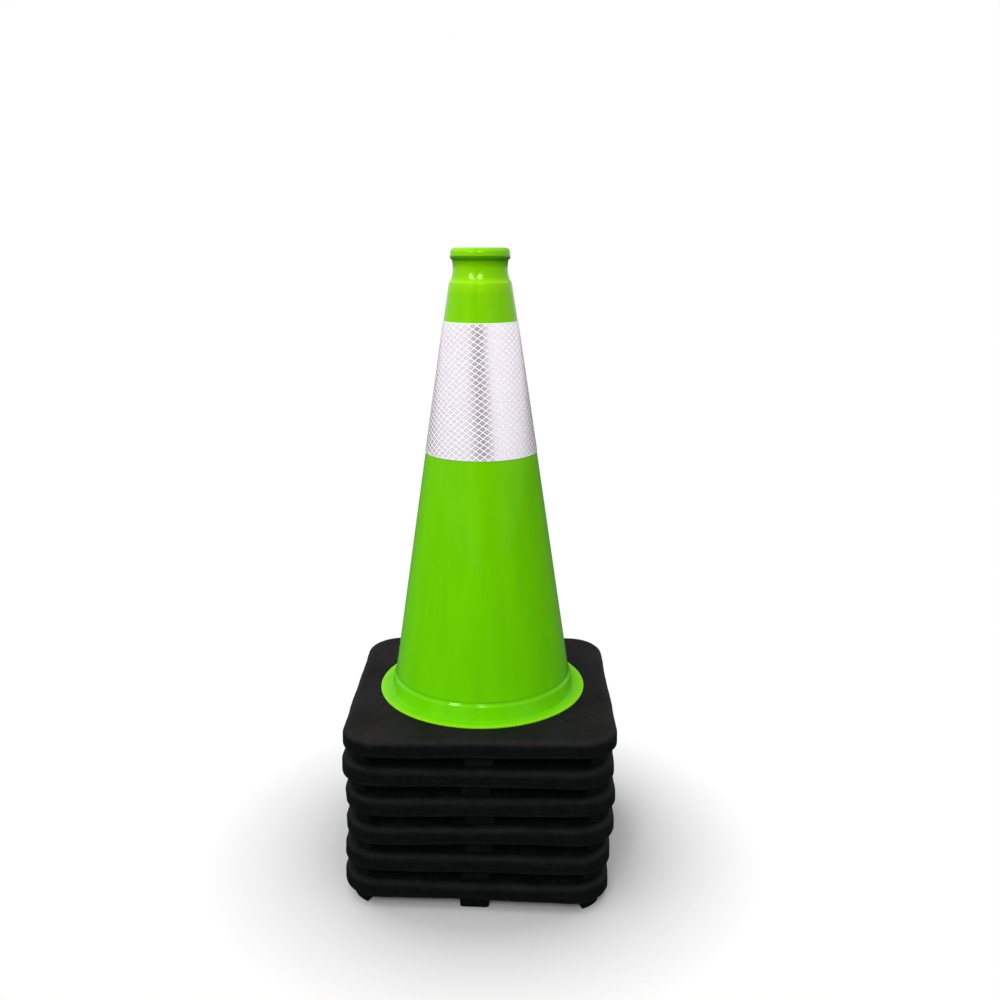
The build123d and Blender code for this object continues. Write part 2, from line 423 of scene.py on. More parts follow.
travel = np.sort(np.concatenate(travel) % perimeter)
travel = travel[np.append(True, np.diff(travel) > FINE / 2)]
out = np.sort(np.concatenate(out))
out = out[np.append(True, np.diff(out) > 0.006)]
print("grid of the base's top:", len(travel), "by", len(out))


# %% The slab
def slab_surface():
    """Point (i, j) of the slab: row i of the section says how far out from the hole, how far in from the
    edge and how high, and column j says where along the outline. The point lies on the straight line
    from the hole's rim to the outline."""
    quarter = np.linspace(0, math.pi / 2, 9)[1:]
    rows = [(0, 0, height) for height in np.linspace(FOOT_HEIGHT, slab_top, 4)[:-1]]
    rows += [(share, SLAB_TOP_EDGE_R, slab_top) for share in out]
    rows += [(1, SLAB_TOP_EDGE_R * (1 - math.sin(a)), slab_top - SLAB_TOP_EDGE_R * (1 - math.cos(a)))
             for a in quarter]
    lower = FOOT_HEIGHT + SLAB_BOTTOM_EDGE_R
    rows += [(1, 0, height) for height in np.linspace(slab_top - SLAB_TOP_EDGE_R, lower, 6)[1:]]
    rows += [(1, SLAB_BOTTOM_EDGE_R * (1 - math.cos(a)), lower - SLAB_BOTTOM_EDGE_R * math.sin(a))
             for a in np.linspace(0, math.pi / 2, 5)[1:]]
    rows += [(share, SLAB_BOTTOM_EDGE_R, FOOT_HEIGHT) for share in np.linspace(1, 0, 9)[1:-1]]
    share, inset, height = np.array(rows, float).T[:, :, None]
    edge = outline(travel[None, :], inset)
    rim = hole_r * edge / np.linalg.norm(edge, axis=-1, keepdims=True)
    flat = rim + (edge - rim) * share[..., None]
    return np.concatenate([flat, np.broadcast_to(height, flat.shape[:2])[..., None]], axis=-1)


slab_points = slab_surface()
print("points of one slab:", slab_points.shape[0] * slab_points.shape[1])


# %% The feet
def foot_block(footprint):
    """A foot that stands on the floor and reaches a little into the slab: its outline, drawn in a
    touch at the very bottom, at six heights, closed by one flat face at each end."""
    middle = footprint.mean(axis=0)
    levels = np.array([0, 0.35, 1.0, 5.0, 9.0, 14.0]) * MM
    drawn_in = np.array([0.9, 0.25, 0, 0, 0, 0]) * MM
    away = footprint - middle
    away = away / np.linalg.norm(away, axis=1, keepdims=True)
    flat = footprint[None] - away[None] * drawn_in[:, None, None]
    height = np.broadcast_to(levels[:, None, None], (*flat.shape[:2], 1))
    points = np.concatenate([flat, height], axis=-1)
    faces = grid_faces(len(levels), len(footprint), False, True).tolist()
    count = len(footprint)
    faces.append(list(range(count - 1, -1, -1)))
    faces.append(list(range((len(levels) - 1) * count, len(levels) * count)))
    return points.reshape(-1, 3), faces


def turned_in_plane(points, angle):
    """Points of the plane turned about the origin: (x cos - y sin, x sin + y cos)."""
    turn = np.array([[math.cos(angle), math.sin(angle)], [-math.sin(angle), math.cos(angle)]])
    return points @ turn


SQUARENESS = 0.28   # 1 would give an ellipse and 0 a rectangle with sharp corners


def middle_footprint():
    """A small rounded rectangle: at angle a, both coordinates are the circle's to the power
    SQUARENESS, with their signs kept, which fills the corners but leaves them rounded."""
    a = np.linspace(0, 2 * math.pi, 40, endpoint=False)
    circle = np.array([np.cos(a), np.sin(a)])
    squared = np.sign(circle) * np.abs(circle) ** SQUARENESS
    place = (half - FOOT_INSET - FOOT_WIDTH / 2, 0)
    return (squared * np.array([[FOOT_WIDTH / 2], [MIDDLE_FOOT_LENGTH / 2]])).T + place


def corner_footprint():
    """A curved band that follows the corner: out along the larger arc and back along the smaller."""
    middle_r = BASE_CORNER_R - FOOT_INSET - FOOT_WIDTH / 2
    a = np.linspace(-0.5, 0.5, 14) * CORNER_FOOT_SPAN + math.pi / 4
    outer = (middle_r + FOOT_WIDTH / 2) * np.column_stack([np.cos(a), np.sin(a)])
    inner = (middle_r - FOOT_WIDTH / 2) * np.column_stack([np.cos(a), np.sin(a)])[::-1]
    return np.vstack([outer, inner]) + corner_centre


feet = [foot_block(turned_in_plane(shape, quarter * math.pi / 2))
        for quarter in range(4) for shape in (middle_footprint(), corner_footprint())]
print("feet under each base:", len(feet))


# %% [markdown]
# The feet are moulded with the slab, so they are united with it once, on a master base. Every cone's
# base is then a copy of the master, and a formula makes each copy uneven in its own way.

# %% Unite the slab and its feet
def unite_base():
    """The slab with the eight feet made one solid by Blender's Boolean modifier."""
    rows, columns = slab_points.shape[:2]
    slab = make_mesh("slab_master", slab_points, grid_faces(rows, columns, True, True)[:, ::-1])
    points, faces, start = [], [], 0
    for foot_points, foot_faces in feet:
        points.append(foot_points)
        faces += [[start + number for number in face] for face in foot_faces]
        start += len(foot_points)
    blocks = make_mesh("feet_master", np.vstack(points), faces)
    union = slab.modifiers.new("feet", "BOOLEAN")
    union.operation = "UNION"
    union.object = blocks
    union.solver = "EXACT"
    graph = bpy.context.evaluated_depsgraph_get()
    united = bpy.data.meshes.new_from_object(slab.evaluated_get(graph))
    for spare in (slab, blocks):
        bpy.data.objects.remove(spare)
    return united


master = unite_base()
print("faces of the master base:", len(master.polygons))


# %% How deep in a mould mark
def mark_share(points):
    """1 in the middle of a mark, 0 outside it, with soft sides, and only on the flat top."""
    nearest = np.min([distance_to_line(points[:, :2], line) for line in marks], axis=0)
    on_top = points[:, 2] > slab_top - 0.1 * MM
    return (1 - ease(nearest, MARK_WIDTH * 0.15, MARK_WIDTH * 0.75)) * on_top


# %% Make a copy of the master uneven
TOP_SAG = 0.45 * MM
SIDE_DRAW = 0.7 * MM
BELLY = 0.7 * MM
FINE_DRAW = 0.18 * MM
FINE_SAG = 0.12 * MM
EDGE_WANDER = 0.45 * MM


def uneven_base(points, seed):
    """Moves the points of a base a little. The sides are drawn in by about SIDE_DRAW at most in slow
    ripples, the top sags by about TOP_SAG away from the flange, and finer ripples are added to both.
    The slab's lower edge wanders up and down and bows up by BELLY in the middle of each side, and the
    mould marks are pressed into the top."""
    x, y, z = points.T
    flat = points[:, :2]
    beyond = flat - np.clip(flat, -corner_centre, corner_centre)
    past = np.linalg.norm(beyond, axis=1)
    outwards = beyond / np.maximum(past, 1e-9)[:, None]
    near_edge = ease(past, BASE_CORNER_R - 14 * MM, BASE_CORNER_R - 2 * MM) * (z > FOOT_HEIGHT - 1e-6)
    draw = SIDE_DRAW * (0.5 + 0.5 * ripples(points * (1, 1, 2.5), 70 * MM, seed))
    draw += FINE_DRAW * (0.5 + 0.5 * ripples(points, 14 * MM, seed + 50))
    from_flange = ease(np.hypot(x, y), flange_r, flange_r + 18 * MM)
    top_part = ease(z, FOOT_HEIGHT, slab_top)
    sag = TOP_SAG * (0.5 + 0.5 * ripples(points * (1, 1, 0), 120 * MM, seed + 7))
    sag += FINE_SAG * (0.5 + 0.5 * ripples(points * (1, 1, 0), 22 * MM, seed + 9))
    groove = MARK_DEPTH * mark_share(points)
    middle = np.exp(-(np.minimum(np.abs(x), np.abs(y)) / (45 * MM)) ** 2)
    bow = BELLY * middle + EDGE_WANDER * ripples(points * (1, 1, 0), 90 * MM, seed + 3)
    bow *= ease(np.maximum(np.abs(x), np.abs(y)), 100 * MM, 118 * MM)
    under_part = np.clip(z / FOOT_HEIGHT, 0, 1) * (1 - top_part)
    moved = points.copy()
    moved[:, :2] -= outwards * (near_edge * np.clip(draw, 0, None))[:, None]
    moved[:, 2] += under_part * bow - top_part * from_flange * np.clip(sag, 0, None) - groove
    return moved


# %% [markdown]
# ## The collar
# The collar is a strip of prismatic reflective sheeting, cut from the flat as a curved band and wrapped
# round the cone, where it laps over itself at the back. A cone can be laid flat without stretching, so
# each point of the collar carries its place on the flat sheet, and the pattern drawn there wraps as
# the real one does.

# %% The wrapped strip
SOFT_EDGE = 0.12 * MM           # height over which the cut edge rounds off
CLIMB = math.radians(1.2)       # how far round the strip takes to climb onto its own start


def wrap_collar(seed, twist):
    """Point (i, j) of the strip: row i goes round the thin section and column j round the cone, from
    the back and once round to past its start. Over the lap the strip climbs onto its own start. The
    flat place is, at slant distance s from the cone's tip and angle a, s sin(a sin t) across and
    s cos(a sin t) down, where t is the wall's lean, and it is turned by SHEET_LEAN."""
    height = np.linspace(collar_bottom, collar_top, 26)
    low, high = collar_bottom + SOFT_EDGE, collar_top - SOFT_EDGE
    rows = [(collar_bottom, 0.0), (collar_bottom, 0.6), (low, 1.0), (low + HOLD, 1.0)]
    rows += [(level, 1.0) for level in height[1:-1]]
    rows += [(high - HOLD, 1.0), (high, 1.0), (collar_top, 0.6), (collar_top, 0.0)]
    rows += [(level, 0.0) for level in height[-3:0:-3]]
    level, lift = np.array(rows).T[:, :, None]
    lap = math.pi + COLLAR_OVERLAP / 2
    top_of_climb = lap - COLLAR_OVERLAP
    whole_way = np.linspace(-lap, lap, 210)
    on_the_climb = np.linspace(top_of_climb - CLIMB, top_of_climb, 6)
    around = np.unique(np.concatenate([whole_way, on_the_climb]))
    layers = ease(around, top_of_climb - CLIMB, top_of_climb)
    angle = around[None, :] - math.pi / 2
    radius = body_radius(level) + COLLAR_THICKNESS * (lift + layers[None, :])
    radius = radius + wall_wander(angle % (2 * math.pi), level, seed)
    points = np.stack([radius * np.cos(angle + twist), radius * np.sin(angle + twist),
                       np.broadcast_to(level, radius.shape)], axis=-1)
    lean = math.atan(taper)
    slant = body_radius(level) / math.sin(lean)
    spread = around[None, :] * math.sin(lean)
    flat = np.stack([slant * np.sin(spread), -slant * np.cos(spread)], axis=-1)
    return points, turned_in_plane(flat, -SHEET_LEAN)


def collar_faces(rows, columns):
    """The strip's grid, closed round its section, with one face across each end."""
    faces = grid_faces(rows, columns, True, False).tolist()
    faces.append([row * columns for row in range(rows)])
    faces.append([row * columns + columns - 1 for row in range(rows - 1, -1, -1)])
    return faces


# %% [markdown]
# ## Finishes
# Three materials cover the stack: gloss PVC, rubber and reflective sheeting. What they share, such as
# the grain of a mould, wear from handling and dust that settles, is made once as a node group with
# named inputs, and each material places it with its own values.

# %% Short ways to write a node tree
def node(tree, kind, inputs=(), **settings):
    """Adds a node, sets it up, and gives each named or numbered input a value or a link."""
    made = tree.nodes.new(kind)
    for name, value in settings.items():
        setattr(made, name, value)
    for name, value in dict(inputs).items():
        if isinstance(value, bpy.types.NodeSocket):
            tree.links.new(value, made.inputs[name])
        else:
            made.inputs[name].default_value = value
    return made


def calculate(tree, operation, first, second=0.0, third=0.0):
    """The result of one Math node."""
    return node(tree, "ShaderNodeMath", {0: first, 1: second, 2: third}, operation=operation).outputs[0]


def remap(tree, value, low, high, to_low=0.0, to_high=1.0):
    """A value taken from one range to another, held at the ends."""
    inputs = {"Value": value, "From Min": low, "From Max": high, "To Min": to_low, "To Max": to_high}
    return node(tree, "ShaderNodeMapRange", inputs, clamp=True).outputs[0]


def mix(tree, share, first, second, blend="MIX"):
    """Two colours mixed by a share."""
    made = node(tree, "ShaderNodeMix", {0: share, 6: first, 7: second}, data_type="RGBA", blend_type=blend)
    return made.outputs[2]


def noise(tree, place, size, detail=3.0, roughness=0.55):
    """Noise with blobs of about the given size in metres."""
    inputs = {"Vector": place, "Scale": 1 / size, "Detail": detail, "Roughness": roughness}
    return node(tree, "ShaderNodeTexNoise", inputs).outputs["Fac"]


def own_value(tree, name):
    """A number that the piece keeps for each of its points."""
    return node(tree, "ShaderNodeAttribute", attribute_name=name).outputs["Fac"]


def stretched(tree, place, factors):
    """A place scaled along X, Y and Z, for patterns longer one way than the other."""
    return node(tree, "ShaderNodeMapping", {"Vector": place, "Scale": factors}).outputs[0]


def new_group(name, inputs, outputs):
    """An empty node group with its sockets: the tree, what comes in and the node that puts out."""
    tree = bpy.data.node_groups.new(name, "ShaderNodeTree")
    for label, kind, value in inputs:
        socket = tree.interface.new_socket(name=label, in_out="INPUT", socket_type=kind)
        if value is not None:
            socket.default_value = value
    for label in outputs:
        tree.interface.new_socket(name=label, in_out="OUTPUT", socket_type="NodeSocketFloat")
    return tree, tree.nodes.new("NodeGroupInput").outputs, tree.nodes.new("NodeGroupOutput")


def place_group(tree, group, **inputs):
    """A group placed in a material, with its inputs by name, and its outputs."""
    named = {label.replace("_", " "): value for label, value in inputs.items()}
    return node(tree, "ShaderNodeGroup", named, node_tree=group).outputs


# %% Grain of the mould
def make_grain():
    """Height of a moulded surface: soft dimples of one size, with finer ones on them and a few pits."""
    tree, given, out = new_group(
        "Mould grain",
        [("Place", "NodeSocketVector", None), ("Fineness", "NodeSocketFloat", 400.0),
         ("Pits", "NodeSocketFloat", 0.2)],
        ["Height"],
    )
    inputs = {"Vector": given["Place"], "Scale": given["Fineness"], "Detail": 3.0, "Roughness": 0.6}
    dimples = node(tree, "ShaderNodeTexNoise", inputs).outputs["Fac"]
    wide = calculate(tree, "MULTIPLY", given["Fineness"], 0.22)
    inputs = {"Vector": given["Place"], "Scale": wide, "Randomness": 1.0}
    holes = node(tree, "ShaderNodeTexVoronoi", inputs, feature="F1").outputs["Distance"]
    depth = remap(tree, holes, 0.0, 0.16, 1.0, 0.0)
    pits = calculate(tree, "MULTIPLY", depth, given["Pits"])
    tree.links.new(calculate(tree, "SUBTRACT", dimples, pits), out.inputs["Height"])
    return tree


# %% Wear from handling and stacking
def make_wear():
    """Two masks: Scuffs are short streaks along the way the cones slide past each other, and Smudges
    are broad, soft, finger-sized blotches."""
    tree, given, out = new_group(
        "Handling wear",
        [("Place", "NodeSocketVector", None), ("Amount", "NodeSocketFloat", 0.5)],
        ["Scuffs", "Smudges"],
    )
    streaks = noise(tree, stretched(tree, given["Place"], (1.0, 1.0, 0.12)), 1.6 * MM, 4.0, 0.7)
    patches = noise(tree, given["Place"], 45 * MM, 2.0)
    where = remap(tree, patches, 0.52, 0.72)
    lines = remap(tree, streaks, 0.60, 0.74)
    scuffs = calculate(tree, "MULTIPLY", lines, where)
    tree.links.new(calculate(tree, "MULTIPLY", scuffs, given["Amount"]), out.inputs["Scuffs"])
    blotches = remap(tree, noise(tree, given["Place"], 24 * MM, 4.0, 0.6), 0.45, 0.75)
    tree.links.new(calculate(tree, "MULTIPLY", blotches, given["Amount"]), out.inputs["Smudges"])
    return tree


# %% Dust that settles on what faces up
def make_dust():
    """Mask of dust: only where the surface faces up, in clouds broken up by fine specks."""
    tree, given, out = new_group(
        "Settled dust",
        [("Place", "NodeSocketVector", None), ("Amount", "NodeSocketFloat", 0.5)],
        ["Dust"],
    )
    facing = node(tree, "ShaderNodeNewGeometry").outputs["Normal"]
    upwards = node(tree, "ShaderNodeSeparateXYZ", {0: facing}).outputs["Z"]
    lying = remap(tree, upwards, 0.35, 0.95)
    clouds = remap(tree, noise(tree, given["Place"], 60 * MM, 5.0, 0.62), 0.34, 0.70, 0.05, 1.0)
    specks = remap(tree, noise(tree, given["Place"], 1.1 * MM, 2.0, 0.7), 0.35, 0.70, 0.45, 1.0)
    cover = calculate(tree, "MULTIPLY", clouds, specks)
    cover = calculate(tree, "MULTIPLY", cover, lying)
    tree.links.new(calculate(tree, "MULTIPLY", cover, given["Amount"]), out.inputs["Dust"])
    return tree


grain, wear, dust = make_grain(), make_wear(), make_dust()
print("shared effects:", [group.name for group in (grain, wear, dust)])


# %% A material with its place and its surface shader
def new_material(name, own_map=False):
    """A material, its node tree, the place its patterns read and its Principled shader."""
    material = bpy.data.materials.new(name)
    material.use_nodes = True
    tree = material.node_tree
    shader = next(n for n in tree.nodes if n.type == "BSDF_PRINCIPLED")
    place = node(tree, "ShaderNodeTexCoord").outputs["UV" if own_map else "Object"]
    return material, tree, place, shader


def connect(tree, shader, **sockets):
    """Links values to the shader's sockets, named with underscores for spaces."""
    for label, value in sockets.items():
        tree.links.new(value, shader.inputs[label.replace("_", " ")])


def set_constants(shader, **sockets):
    """Sets the shader's own sockets to numbers or colours that are the same all over."""
    for label, value in sockets.items():
        shader.inputs[label.replace("_", " ")].default_value = value


def bump(tree, height, distance, strength=1.0):
    """A normal bent by a height, where a height of 1 stands for the given distance."""
    inputs = {"Height": height, "Distance": distance, "Strength": strength}
    return node(tree, "ShaderNodeBump", inputs).outputs["Normal"]


# %% [markdown]
# ### Lime PVC
# The shell's pigment goes right through the plastic. It looks yellower near the neck and greener
# further down. The sheen is weak and green, because the pigment colours it, and a thin clear coat on it
# gives the sharp highlights. The mould left very slight dimples, and hands have dulled the surface in
# blotches. Shade under the lip and in the crease is drawn as colour, and thin edges are drawn brighter,
# because light comes through them.

# %% Lime PVC
LIP_WIDEST = 1 - 6.6 * MM / cone_height      # heights as shares of the cone's own height
CREASE = (slab_top + FLANGE_THICKNESS + SKIRT_HEIGHT) / cone_height
LIME_LOW, LIME_MIDDLE = (0.130, 0.548, 0.0004, 1), (0.156, 0.562, 0.0004, 1)
LIME_TOP, LIME_EDGE = (0.236, 0.615, 0.0004, 1), (0.300, 0.680, 0.003, 1)
LIME_CLOUD, LIME_BAND = (0.100, 0.435, 0.0003, 1), (0.092, 0.415, 0.0003, 1)
LIME_SHADE, LIME_SCUFF = (0.022, 0.215, 0.001, 1), (0.40, 0.75, 0.12, 1)
LIME_DUST = (0.30, 0.32, 0.20, 1)


def lime_pvc():
    """Lime that runs from greener to yellower up the cone, shaded in the nooks and along soft vertical
    bands, bright at thin edges, with scuffs, a trace of dust and duller blotches."""
    material, tree, place, shader = new_material("lime_pvc")
    up = own_value(tree, "own_height")
    colour = mix(tree, remap(tree, up, 0.10, 0.55), LIME_LOW, LIME_MIDDLE)
    colour = mix(tree, remap(tree, up, 0.55, 1.0), colour, LIME_TOP)
    cloud = remap(tree, noise(tree, place, 70 * MM, 3.0), 0.3, 0.7)
    colour = mix(tree, calculate(tree, "MULTIPLY", cloud, 0.25), colour, LIME_CLOUD)
    below_lip = remap(tree, up, LIP_WIDEST, LIP_WIDEST - 0.0012)
    lip_shade = calculate(tree, "MULTIPLY", below_lip, remap(tree, up, 0.962, 0.985))
    from_crease = calculate(tree, "ABSOLUTE", calculate(tree, "SUBTRACT", up, CREASE))
    crease_line = remap(tree, from_crease, 0.0, 0.004, 0.45, 0.0)
    outer = own_value(tree, "outer_side")
    nook = calculate(tree, "MULTIPLY", calculate(tree, "MAXIMUM", lip_shade, crease_line), outer)
    colour = mix(tree, nook, colour, LIME_SHADE)
    banded = noise(tree, stretched(tree, place, (1.0, 1.0, 0.10)), 13 * MM, 2.0)
    colour = mix(tree, remap(tree, banded, 0.35, 0.70, 0.0, 0.30), colour, LIME_BAND)
    edge = own_value(tree, "bright_edge")
    colour = mix(tree, edge, colour, LIME_EDGE)
    worn = place_group(tree, wear, Place=place, Amount=0.5)
    dusty = place_group(tree, dust, Place=place, Amount=0.04)
    colour = mix(tree, calculate(tree, "MULTIPLY", worn["Scuffs"], 0.35), colour, LIME_SCUFF)
    colour = mix(tree, dusty["Dust"], colour, LIME_DUST)
    rough = remap(tree, worn["Smudges"], 0.0, 0.5, 0.17, 0.27)
    rough = calculate(tree, "ADD", rough, calculate(tree, "MULTIPLY", worn["Scuffs"], 0.25))
    peel = place_group(tree, grain, Place=place, Fineness=260.0, Pits=0.0)
    connect(tree, shader, Base_Color=colour, Roughness=rough,
            Normal=bump(tree, peel["Height"], 0.035 * MM))
    set_constants(shader, Specular_IOR_Level=0.10, Specular_Tint=(0.45, 1.0, 0.02, 1),
                  Coat_Weight=0.10, Coat_Roughness=0.04)
    return material


# %% [markdown]
# ### Black rubber
# Pressed from granules of old tyres, so it is never one black: the granules differ a little, pits stay
# between them and flow streaks run along it. Stacking rubs the rounded edges grey, and a painted highlight
# lies along them as well, half as strong on the top edge of a covered base. Each mould mark has a painted
# highlight on its lip and painted shade in its floor. Thin brownish dust lies on the top base, and the
# covered ones under it are nearly clean.

# %% Black rubber
GRANULE_DARK, GRANULE_LIGHT = (0.0012, 0.0018, 0.0016, 1), (0.0032, 0.0046, 0.0042, 1)
RUBBER_MOTTLE, RUBBER_STREAK = (0.0034, 0.0048, 0.0044, 1), (0.0085, 0.0100, 0.0095, 1)
EDGE_RUB_AND_HIGHLIGHT_GREY, SCRATCH_GREY = (0.021, 0.021, 0.021, 1), (0.019, 0.019, 0.019, 1)
SCUFF_GREY, RUBBER_DUST = (0.024, 0.025, 0.025, 1), (0.028, 0.021, 0.024, 1)
MARK_LIP_HIGHLIGHT, MARK_FLOOR_SHADE = (0.034, 0.030, 0.032, 1), (0.002, 0.002, 0.002, 1)


def black_rubber():
    """Granules of nearly black tones, rubbed and given a painted highlight at the edges, scratched and
    streaked, with dust where it can settle, a painted highlight on the lip round each mould mark and
    painted shade in its floor."""
    material, tree, place, shader = new_material("black_rubber")
    inputs = {"Vector": place, "Scale": 420.0, "Randomness": 1.0}
    granule = node(tree, "ShaderNodeTexVoronoi", inputs, feature="F1")
    tone = node(tree, "ShaderNodeSeparateXYZ", {0: granule.outputs["Color"]}).outputs["X"]
    colour = mix(tree, tone, GRANULE_DARK, GRANULE_LIGHT)
    mottle = remap(tree, noise(tree, place, 30 * MM, 5.0, 0.65), 0.30, 0.70)
    colour = mix(tree, calculate(tree, "MULTIPLY", mottle, 0.7), colour, RUBBER_MOTTLE)
    # real rubbing and a painted highlight share one band along the rounded edges
    rim = own_value(tree, "edge_rub_and_highlight")
    patchy = remap(tree, noise(tree, place, 12 * MM, 5.0, 0.7), 0.30, 0.62, 0.25, 1.0)
    rubbed_and_lit = calculate(tree, "MULTIPLY", rim, patchy)
    colour = mix(tree, calculate(tree, "MULTIPLY", rubbed_and_lit, 0.55), colour, EDGE_RUB_AND_HIGHLIGHT_GREY)
    worn = place_group(tree, wear, Place=place, Amount=1.0)
    scratches = noise(tree, stretched(tree, place, (0.25, 1.0, 1.0)), 1.3 * MM, 5.0, 0.75)
    thin = remap(tree, scratches, 0.62, 0.70, 0.0, 0.5)
    colour = mix(tree, calculate(tree, "MULTIPLY", thin, mottle), colour, SCRATCH_GREY)
    colour = mix(tree, calculate(tree, "MULTIPLY", worn["Scuffs"], 0.5), colour, SCUFF_GREY)
    dusty = place_group(tree, dust, Place=place, Amount=0.75)
    open_air = own_value(tree, "open_to_dust")
    lying = calculate(tree, "MULTIPLY", dusty["Dust"], open_air)
    colour = mix(tree, lying, colour, RUBBER_DUST)
    streaks = noise(tree, stretched(tree, place, (0.12, 0.12, 1.0)), 2.6 * MM, 4.0, 0.65)
    colour = mix(tree, remap(tree, streaks, 0.50, 0.66, 0.0, 0.45), colour, RUBBER_STREAK)
    # each mould mark gets a painted highlight on its lip and painted shade in its floor
    mark = own_value(tree, "mark")
    from_lip = calculate(tree, "ABSOLUTE", calculate(tree, "SUBTRACT", mark, 0.35))
    colour = mix(tree, remap(tree, from_lip, 0.0, 0.3, 0.7, 0.0), colour, MARK_LIP_HIGHLIGHT)
    colour = mix(tree, remap(tree, mark, 0.45, 0.9), colour, MARK_FLOOR_SHADE)
    rough = remap(tree, mottle, 0.0, 1.0, 0.55, 0.75)
    pressed = place_group(tree, grain, Place=place, Fineness=700.0, Pits=0.6)
    lumps = noise(tree, place, 9 * MM, 4.0, 0.6)
    height = calculate(tree, "MULTIPLY_ADD", pressed["Height"], 0.35, lumps)
    connect(tree, shader, Base_Color=colour, Roughness=rough, Normal=bump(tree, height, 0.8 * MM))
    set_constants(shader, Specular_IOR_Level=0.06)
    return material


# %% [markdown]
# ### Reflective sheeting
# Under a clear film lie tiny prisms, sealed together along a lattice of white lines. The prisms act as
# little mirrors, so a cell is as bright as what it faces, while the seal lines stay white from every
# side. The lattice is drawn on the flat place of the sheet. In the shader the cells are mostly metal and
# the seal lines aren't.

# %% The lattice of seal lines
CELL_ACROSS = 7.55 * MM
CELL_DOWN = 5.55 * MM


def make_lattice():
    """Masks of a rhombic lattice: with p and q the place divided by the cell's size, a = p + q and
    b = p - q count the lines of the two slanted families, and each line lies where a or b is whole.
    Ring is the outer part of a cell, Tone a number of the cell's own."""
    tree, given, out = new_group("Seal lattice", [("Place", "NodeSocketVector", None)],
                                 ["Lines", "Ring", "Tone"])
    flat = node(tree, "ShaderNodeSeparateXYZ", {0: given["Place"]}).outputs
    p = calculate(tree, "DIVIDE", flat["X"], CELL_ACROSS)
    q = calculate(tree, "DIVIDE", flat["Y"], CELL_DOWN)
    families = [calculate(tree, "ADD", p, q), calculate(tree, "SUBTRACT", p, q)]
    from_middle = [
        calculate(tree, "ABSOLUTE", calculate(tree, "SUBTRACT", calculate(tree, "FRACT", family), 0.5))
        for family in families
    ]
    edge = calculate(tree, "MAXIMUM", *from_middle)
    tree.links.new(remap(tree, edge, 0.36, 0.42), out.inputs["Lines"])
    tree.links.new(remap(tree, edge, 0.07, 0.19), out.inputs["Ring"])
    whole = [calculate(tree, "FLOOR", family) for family in families]
    number = node(tree, "ShaderNodeCombineXYZ", {"X": whole[0], "Y": whole[1]}).outputs[0]
    chance = node(tree, "ShaderNodeTexWhiteNoise", {"Vector": number}, noise_dimensions="2D")
    tree.links.new(chance.outputs["Value"], out.inputs["Tone"])
    return tree


lattice = make_lattice()


# %% Reflective sheeting
MIRROR_WARM, MIRROR_COOL = (0.90, 0.82, 0.89, 1), (0.87, 0.86, 0.92, 1)
MIRROR_DULL, MIRROR_DOT = (0.70, 0.66, 0.71, 1), (0.90, 0.90, 0.93, 1)
SEAL_WHITE, CUT_WHITE = (0.90, 0.84, 0.90, 1), (0.90, 0.90, 0.90, 1)
FINGER_GREY = (0.42, 0.37, 0.40, 1)


def reflective_sheet():
    """Mirror cells between white seal lines. The tone drifts slowly over the sheet and a little from cell
    to cell, each cell has a paler dot in its middle, and a few finger marks lie on top."""
    material, tree, place, shader = new_material("reflective_sheet", own_map=True)
    cells = place_group(tree, lattice, Place=place)
    drift = remap(tree, noise(tree, place, 30 * MM, 2.0), 0.35, 0.65)
    mirror = mix(tree, drift, MIRROR_WARM, MIRROR_COOL)
    mirror = mix(tree, calculate(tree, "MULTIPLY", cells["Tone"], 0.10), mirror, MIRROR_DULL)
    dot = calculate(tree, "SUBTRACT", 1.0, cells["Ring"])
    mirror = mix(tree, calculate(tree, "MULTIPLY", dot, 0.55), mirror, MIRROR_DOT)
    colour = mix(tree, cells["Lines"], mirror, SEAL_WHITE)
    finger_marks = remap(tree, noise(tree, place, 7 * MM, 2.0), 0.70, 0.76, 0.0, 0.35)
    colour = mix(tree, finger_marks, colour, FINGER_GREY)
    cut = own_value(tree, "cut_edge")
    colour = mix(tree, cut, colour, CUT_WHITE)
    sealed = calculate(tree, "MAXIMUM", cells["Lines"], cut)
    metal = remap(tree, sealed, 0.0, 1.0, 0.84, 0.0)
    metal = calculate(tree, "MULTIPLY", metal, remap(tree, cells["Ring"], 0.0, 1.0, 0.55, 1.0))
    rough = remap(tree, sealed, 0.0, 1.0, 0.24, 0.45)
    connect(tree, shader, Base_Color=colour, Metallic=metal, Roughness=rough,
            Normal=bump(tree, cells["Lines"], 0.04 * MM))
    set_constants(shader, Specular_IOR_Level=0.2)
    return material


finishes = {"shell": lime_pvc(), "base": black_rubber(), "collar": reflective_sheet()}
print("materials:", [finish.name for finish in finishes.values()])


# %% [markdown]
# ## Putting the stack together
# Every cone gets its three pieces, lifted to its floor and turned as it sits. The wander and the sag
# differ from cone to cone, because each is drawn from the cone's own seed, and the wear differs because
# each cone stands at its own height.

# %% Build the pieces of one cone
def build_shell(name, seed, twist, floor):
    """A shell with its own height, its outer side and the edges where light comes through."""
    points = turn_shell(seed, twist) + (0, 0, floor)
    shell = make_mesh(name, points, grid_faces(*points.shape[:2], True, True))
    level = points[..., 2] - floor
    radius = np.hypot(points[..., 0], points[..., 1])
    outside = radius > body_radius(level) - SHELL_WALL
    point_value(shell, "own_height", level / cone_height)
    point_value(shell, "outer_side", outside.astype(float))
    rim = ease(radius, flange_r - 3 * MM, flange_r - 0.5 * MM) * (level > slab_top - 1 * MM)
    foot_of_neck = np.exp(-((level - neck_foot - 1.0 * MM) / (3.0 * MM)) ** 2) * outside
    point_value(shell, "bright_edge", np.clip(0.45 * rim + 0.7 * foot_of_neck, 0, 1))
    return shell


